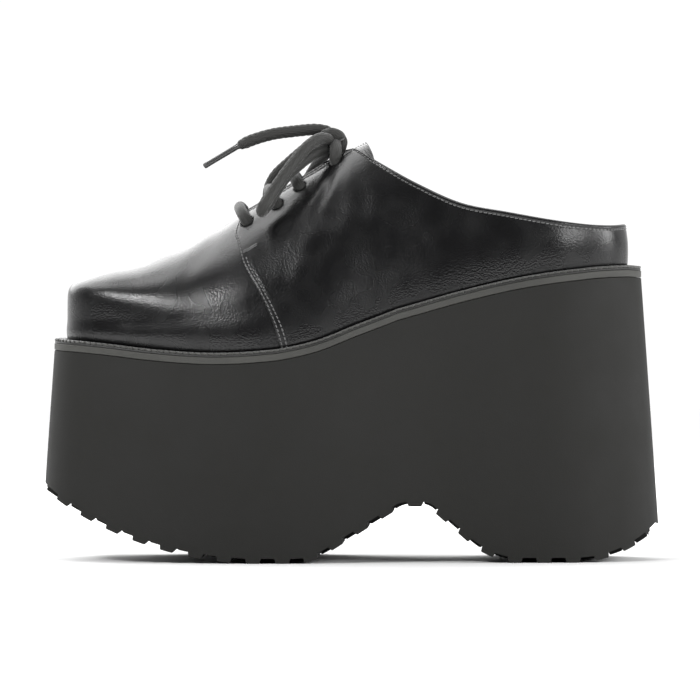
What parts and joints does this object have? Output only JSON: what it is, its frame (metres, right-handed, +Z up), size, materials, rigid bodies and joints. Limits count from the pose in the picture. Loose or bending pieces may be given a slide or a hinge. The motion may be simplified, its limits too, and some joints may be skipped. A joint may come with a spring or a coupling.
{
  "type": "platform mule",
  "caption": "Low-backed derby mule with a square toe, a laced throat and a bow, on a very tall one-piece platform with an arched, lugged underside.",
  "frame": {"origin": "middle of the shoe's footprint box, on the floor under the lugs", "axes": "+X from the toe to the heel, +Y from the lateral to the medial side, +Z up"},
  "size_m": [0.2744, 0.1185, 0.1949],
  "materials": {
    "platform_foam": "matte moulded foam",
    "midsole_foam": "matte",
    "welt": "satin",
    "insole": "satin",
    "leather": "glossy smooth grain",
    "lace": "round braid",
    "aglet": "gloss"
  },
  "bodies": {
    "root": {"platform": "platform_foam", "midsole": "midsole_foam", "welt": "welt", "insole": "insole", "upper": "leather", "tongue": "leather", "lace_bar_1": "lace", "lace_bar_2": "lace", "lace_bar_3": "lace", "lace_knot": "lace", "lace_loop_near": "lace", "lace_loop_far": "lace", "lace_end": "lace", "lace_aglet": "aglet"}
  },
  "joints": []
}
